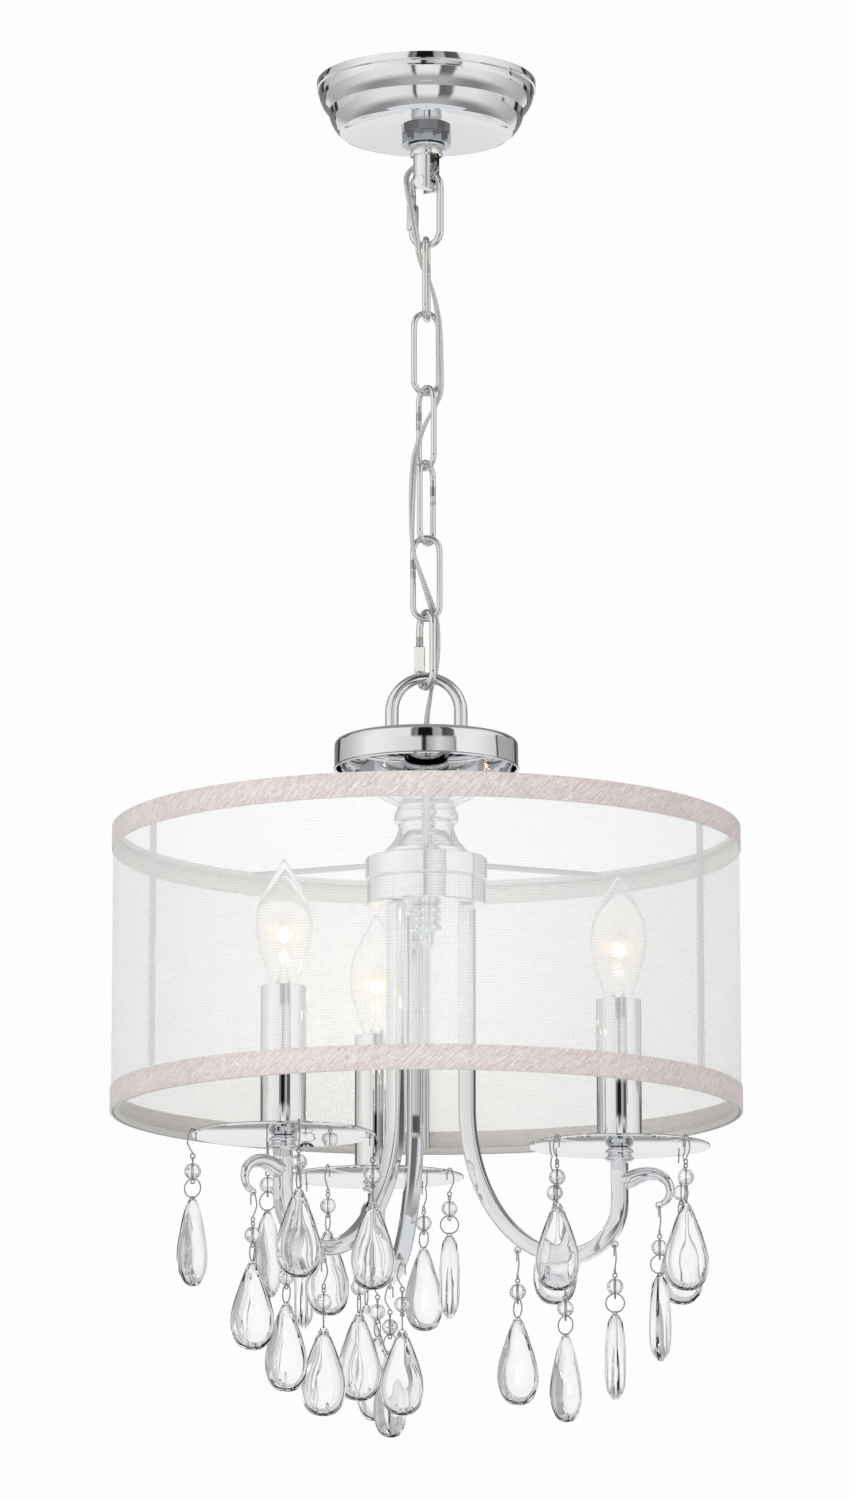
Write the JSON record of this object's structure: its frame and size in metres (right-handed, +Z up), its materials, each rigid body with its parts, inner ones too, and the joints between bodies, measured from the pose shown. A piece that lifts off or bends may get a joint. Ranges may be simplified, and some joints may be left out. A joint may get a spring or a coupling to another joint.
{
  "type": "drum chandelier",
  "caption": "Drum-shade chandelier on a chain: chrome canopy, sheer shade on a wire frame, swept arms with candle bulbs, drip pans and hanging crystal drops.",
  "frame": {"origin": "the lamp's axis in the plane of the ceiling, at the top of the crossbar", "axes": "+Z up towards the ceiling, -Y towards the viewer of the picture, +X to the viewer's right"},
  "size_m": [0.368, 0.368, 0.8036],
  "materials": {
    "polished_chrome": "polished",
    "satin_nickel": "satin",
    "zinc_steel": "zinc plated",
    "brass": "plain",
    "silver_cord": "clear over silver",
    "organza": "sheer",
    "socket_plastic": "moulded",
    "bulb_glass": "clear",
    "crystal": "cut and polished"
  },
  "bodies": {
    "ceiling_set": {"crossbar": "zinc_steel", "canopy_nipple": "brass", "canopy": "polished_chrome", "canopy_loop": "polished_chrome", "supply_cord": "silver_cord"},
    "collar": {"collar_nut": "satin_nickel"},
    "quick_link_top": {"quick_link_top": "polished_chrome"},
    "chain_link_1": {"chain_link_1": "polished_chrome"},
    "chain_link_2": {"chain_link_2": "polished_chrome"},
    "chain_link_3": {"chain_link_3": "polished_chrome"},
    "chain_link_4": {"chain_link_4": "polished_chrome"},
    "chain_link_5": {"chain_link_5": "polished_chrome"},
    "quick_link_bottom": {"quick_link_bottom": "polished_chrome"},
    "lamp_body": {"body_loop": "polished_chrome", "body_cap": "polished_chrome", "column": "polished_chrome", "arm_hub": "polished_chrome", "shade_frame": "polished_chrome", "shade_fabric": "organza", "arm_1": "polished_chrome", "drip_pan_1": "polished_chrome", "candle_sleeve_1": "polished_chrome", "socket_1": "socket_plastic", "arm_2": "polished_chrome", "drip_pan_2": "polished_chrome", "candle_sleeve_2": "polished_chrome", "socket_2": "socket_plastic", "arm_3": "polished_chrome", "drip_pan_3": "polished_chrome", "candle_sleeve_3": "polished_chrome", "socket_3": "socket_plastic"},
    "bulb_1": {"bulb_1": "bulb_glass"},
    "bulb_2": {"bulb_2": "bulb_glass"},
    "bulb_3": {"bulb_3": "bulb_glass"},
    "link_sleeve": {"quick_link_sleeve": "polished_chrome"},
    "finial": {"hub_finial": "polished_chrome"},
    "pan_strand_1_1": {"pan_strand_1_1": "crystal"},
    "pan_strand_1_2": {"pan_strand_1_2": "crystal"},
    "pan_strand_1_3": {"pan_strand_1_3": "crystal"},
    "pan_strand_1_4": {"pan_strand_1_4": "crystal"},
    "pan_strand_2_1": {"pan_strand_2_1": "crystal"},
    "pan_strand_2_2": {"pan_strand_2_2": "crystal"},
    "pan_strand_2_3": {"pan_strand_2_3": "crystal"},
    "pan_strand_2_4": {"pan_strand_2_4": "crystal"},
    "pan_strand_3_1": {"pan_strand_3_1": "crystal"},
    "pan_strand_3_2": {"pan_strand_3_2": "crystal"},
    "pan_strand_3_3": {"pan_strand_3_3": "crystal"},
    "pan_strand_3_4": {"pan_strand_3_4": "crystal"},
    "arm_strand_1_1": {"arm_strand_1_1": "crystal"},
    "arm_strand_1_2": {"arm_strand_1_2": "crystal"},
    "arm_strand_1_3": {"arm_strand_1_3": "crystal"},
    "arm_strand_1_4": {"arm_strand_1_4": "crystal"},
    "arm_strand_2_1": {"arm_strand_2_1": "crystal"},
    "arm_strand_2_2": {"arm_strand_2_2": "crystal"},
    "arm_strand_2_3": {"arm_strand_2_3": "crystal"},
    "arm_strand_2_4": {"arm_strand_2_4": "crystal"},
    "arm_strand_3_1": {"arm_strand_3_1": "crystal"},
    "arm_strand_3_2": {"arm_strand_3_2": "crystal"},
    "arm_strand_3_3": {"arm_strand_3_3": "crystal"},
    "arm_strand_3_4": {"arm_strand_3_4": "crystal"}
  },
  "joints": [
    {"name": "quick_link_top_swing", "type": "hinge", "parent": "ceiling_set", "child": "quick_link_top", "pos_m": [0, 0, -0.06255], "axis": [-0.5878, -0.809, 0], "range_deg": [-25, 25], "deforming": ["supply_cord"]},
    {"name": "chain_link_1_swing", "type": "hinge", "parent": "quick_link_top", "child": "chain_link_1", "pos_m": [0, 0, -0.1012], "axis": [-0.9511, 0.309, 0], "range_deg": [-25, 25]},
    {"name": "chain_link_2_swing", "type": "hinge", "parent": "chain_link_1", "child": "chain_link_2", "pos_m": [0, 0, -0.1464], "axis": [0.1045, 0.9945, 0], "range_deg": [-25, 25]},
    {"name": "chain_link_3_swing", "type": "hinge", "parent": "chain_link_2", "child": "chain_link_3", "pos_m": [0, 0, -0.192], "axis": [0.9397, 0.342, 0], "range_deg": [-25, 25]},
    {"name": "chain_link_4_swing", "type": "hinge", "parent": "chain_link_3", "child": "chain_link_4", "pos_m": [0, 0, -0.2376], "axis": [0.5592, -0.829, 0], "range_deg": [-25, 25]},
    {"name": "chain_link_5_swing", "type": "hinge", "parent": "chain_link_4", "child": "chain_link_5", "pos_m": [0, 0, -0.2832], "axis": [0.5, 0.866, 0], "range_deg": [-25, 25]},
    {"name": "quick_link_bottom_swing", "type": "hinge", "parent": "chain_link_5", "child": "quick_link_bottom", "pos_m": [0, 0, -0.3288], "axis": [-0.9976, 0.0698, 0], "range_deg": [-25, 25]},
    {"name": "lamp_body_swing", "type": "hinge", "parent": "quick_link_bottom", "child": "lamp_body", "pos_m": [0, 0, -0.3697], "axis": [0.454, -0.891, 0], "range_deg": [-25, 25]},
    {"name": "bulb_1_turn", "type": "hinge", "parent": "lamp_body", "child": "bulb_1", "pos_m": [0.11127, -0.02982, -0.5618], "axis": [0, 0, 1], "continuous": true},
    {"name": "bulb_2_turn", "type": "hinge", "parent": "lamp_body", "child": "bulb_2", "pos_m": [-0.02982, 0.11127, -0.5618], "axis": [0, 0, 1], "continuous": true},
    {"name": "bulb_3_turn", "type": "hinge", "parent": "lamp_body", "child": "bulb_3", "pos_m": [-0.08146, -0.08146, -0.5618], "axis": [0, 0, 1], "continuous": true},
    {"name": "link_sleeve_slide", "type": "slide", "parent": "quick_link_bottom", "child": "link_sleeve", "axis": [0, 0, 1], "range_m": [0, 0.01]},
    {"name": "collar_nut_turn", "type": "hinge", "parent": "ceiling_set", "child": "collar", "pos_m": [0, 0, -0.0263], "axis": [0, 0, 1], "continuous": true},
    {"name": "hub_finial_turn", "type": "hinge", "parent": "lamp_body", "child": "finial", "pos_m": [0, 0, -0.5003], "axis": [0, 0, 1], "continuous": true},
    {"name": "pan_strand_1_1_swing", "type": "hinge", "parent": "lamp_body", "child": "pan_strand_1_1", "pos_m": [0.14797, 0.00688, -0.64555], "axis": [-0.7071, 0.7071, 0], "range_deg": [-10, 10]},
    {"name": "pan_strand_1_2_swing", "type": "hinge", "parent": "lamp_body", "child": "pan_strand_1_2", "pos_m": [0.07458, 0.00688, -0.64555], "axis": [-0.7071, -0.7071, 0], "range_deg": [-10, 10]},
    {"name": "pan_strand_1_3_swing", "type": "hinge", "parent": "lamp_body", "child": "pan_strand_1_3", "pos_m": [0.07458, -0.06652, -0.64555], "axis": [0.7071, -0.7071, 0], "range_deg": [-10, 10]},
    {"name": "pan_strand_1_4_swing", "type": "hinge", "parent": "lamp_body", "child": "pan_strand_1_4", "pos_m": [0.14797, -0.06652, -0.64555], "axis": [0.7071, 0.7071, 0], "range_deg": [-10, 10]},
    {"name": "pan_strand_2_1_swing", "type": "hinge", "parent": "lamp_body", "child": "pan_strand_2_1", "pos_m": [-0.00155, 0.1548, -0.64555], "axis": [-0.8387, 0.5446, 0], "range_deg": [-10, 10]},
    {"name": "pan_strand_2_2_swing", "type": "hinge", "parent": "lamp_body", "child": "pan_strand_2_2", "pos_m": [-0.07334, 0.13954, -0.64555], "axis": [-0.5446, -0.8387, 0], "range_deg": [-10, 10]},
    {"name": "pan_strand_2_3_swing", "type": "hinge", "parent": "lamp_body", "child": "pan_strand_2_3", "pos_m": [-0.05808, 0.06775, -0.64555], "axis": [0.8387, -0.5446, 0], "range_deg": [-10, 10]},
    {"name": "pan_strand_2_4_swing", "type": "hinge", "parent": "lamp_body", "child": "pan_strand_2_4", "pos_m": [0.01371, 0.08301, -0.64555], "axis": [0.5446, 0.8387, 0], "range_deg": [-10, 10]},
    {"name": "pan_strand_3_1_swing", "type": "hinge", "parent": "lamp_body", "child": "pan_strand_3_1", "pos_m": [-0.03051, -0.07156, -0.64555], "axis": [-0.1908, 0.9816, 0], "range_deg": [-10, 10]},
    {"name": "pan_strand_3_2_swing", "type": "hinge", "parent": "lamp_body", "child": "pan_strand_3_2", "pos_m": [-0.09136, -0.03051, -0.64555], "axis": [-0.9816, -0.1908, 0], "range_deg": [-10, 10]},
    {"name": "pan_strand_3_3_swing", "type": "hinge", "parent": "lamp_body", "child": "pan_strand_3_3", "pos_m": [-0.1324, -0.09136, -0.64555], "axis": [0.1908, -0.9816, 0], "range_deg": [-10, 10]},
    {"name": "pan_strand_3_4_swing", "type": "hinge", "parent": "lamp_body", "child": "pan_strand_3_4", "pos_m": [-0.07156, -0.1324, -0.64555], "axis": [0.9816, 0.1908, 0], "range_deg": [-10, 10]},
    {"name": "arm_strand_1_1_swing", "type": "hinge", "parent": "lamp_body", "child": "arm_strand_1_1", "pos_m": [0.05261, -0.0141, -0.70557], "axis": [-0.9659, 0.2588, 0], "range_deg": [-10, 10]},
    {"name": "arm_strand_1_2_swing", "type": "hinge", "parent": "lamp_body", "child": "arm_strand_1_2", "pos_m": [0.07995, -0.02142, -0.71599], "axis": [-0.9659, 0.2588, 0], "range_deg": [-10, 10]},
    {"name": "arm_strand_1_3_swing", "type": "hinge", "parent": "lamp_body", "child": "arm_strand_1_3", "pos_m": [0.10828, -0.02901, -0.70407], "axis": [-0.9659, 0.2588, 0], "range_deg": [-10, 10]},
    {"name": "arm_strand_1_4_swing", "type": "hinge", "parent": "lamp_body", "child": "arm_strand_1_4", "pos_m": [0.13382, -0.03586, -0.68248], "axis": [-0.9659, 0.2588, 0], "range_deg": [-10, 10]},
    {"name": "arm_strand_2_1_swing", "type": "hinge", "parent": "lamp_body", "child": "arm_strand_2_1", "pos_m": [-0.0141, 0.05261, -0.70557], "axis": [0.2588, -0.9659, 0], "range_deg": [-10, 10]},
    {"name": "arm_strand_2_2_swing", "type": "hinge", "parent": "lamp_body", "child": "arm_strand_2_2", "pos_m": [-0.02142, 0.07995, -0.71599], "axis": [0.2588, -0.9659, 0], "range_deg": [-10, 10]},
    {"name": "arm_strand_2_3_swing", "type": "hinge", "parent": "lamp_body", "child": "arm_strand_2_3", "pos_m": [-0.02901, 0.10828, -0.70407], "axis": [0.2588, -0.9659, 0], "range_deg": [-10, 10]},
    {"name": "arm_strand_2_4_swing", "type": "hinge", "parent": "lamp_body", "child": "arm_strand_2_4", "pos_m": [-0.03586, 0.13382, -0.68248], "axis": [0.2588, -0.9659, 0], "range_deg": [-10, 10]},
    {"name": "arm_strand_3_1_swing", "type": "hinge", "parent": "lamp_body", "child": "arm_strand_3_1", "pos_m": [-0.03852, -0.03852, -0.70557], "axis": [0.7071, 0.7071, 0], "range_deg": [-10, 10]},
    {"name": "arm_strand_3_2_swing", "type": "hinge", "parent": "lamp_body", "child": "arm_strand_3_2", "pos_m": [-0.05853, -0.05853, -0.71599], "axis": [0.7071, 0.7071, 0], "range_deg": [-10, 10]},
    {"name": "arm_strand_3_3_swing", "type": "hinge", "parent": "lamp_body", "child": "arm_strand_3_3", "pos_m": [-0.07927, -0.07927, -0.70407], "axis": [0.7071, 0.7071, 0], "range_deg": [-10, 10]},
    {"name": "arm_strand_3_4_swing", "type": "hinge", "parent": "lamp_body", "child": "arm_strand_3_4", "pos_m": [-0.09796, -0.09796, -0.68248], "axis": [0.7071, 0.7071, 0], "range_deg": [-10, 10]}
  ]
}
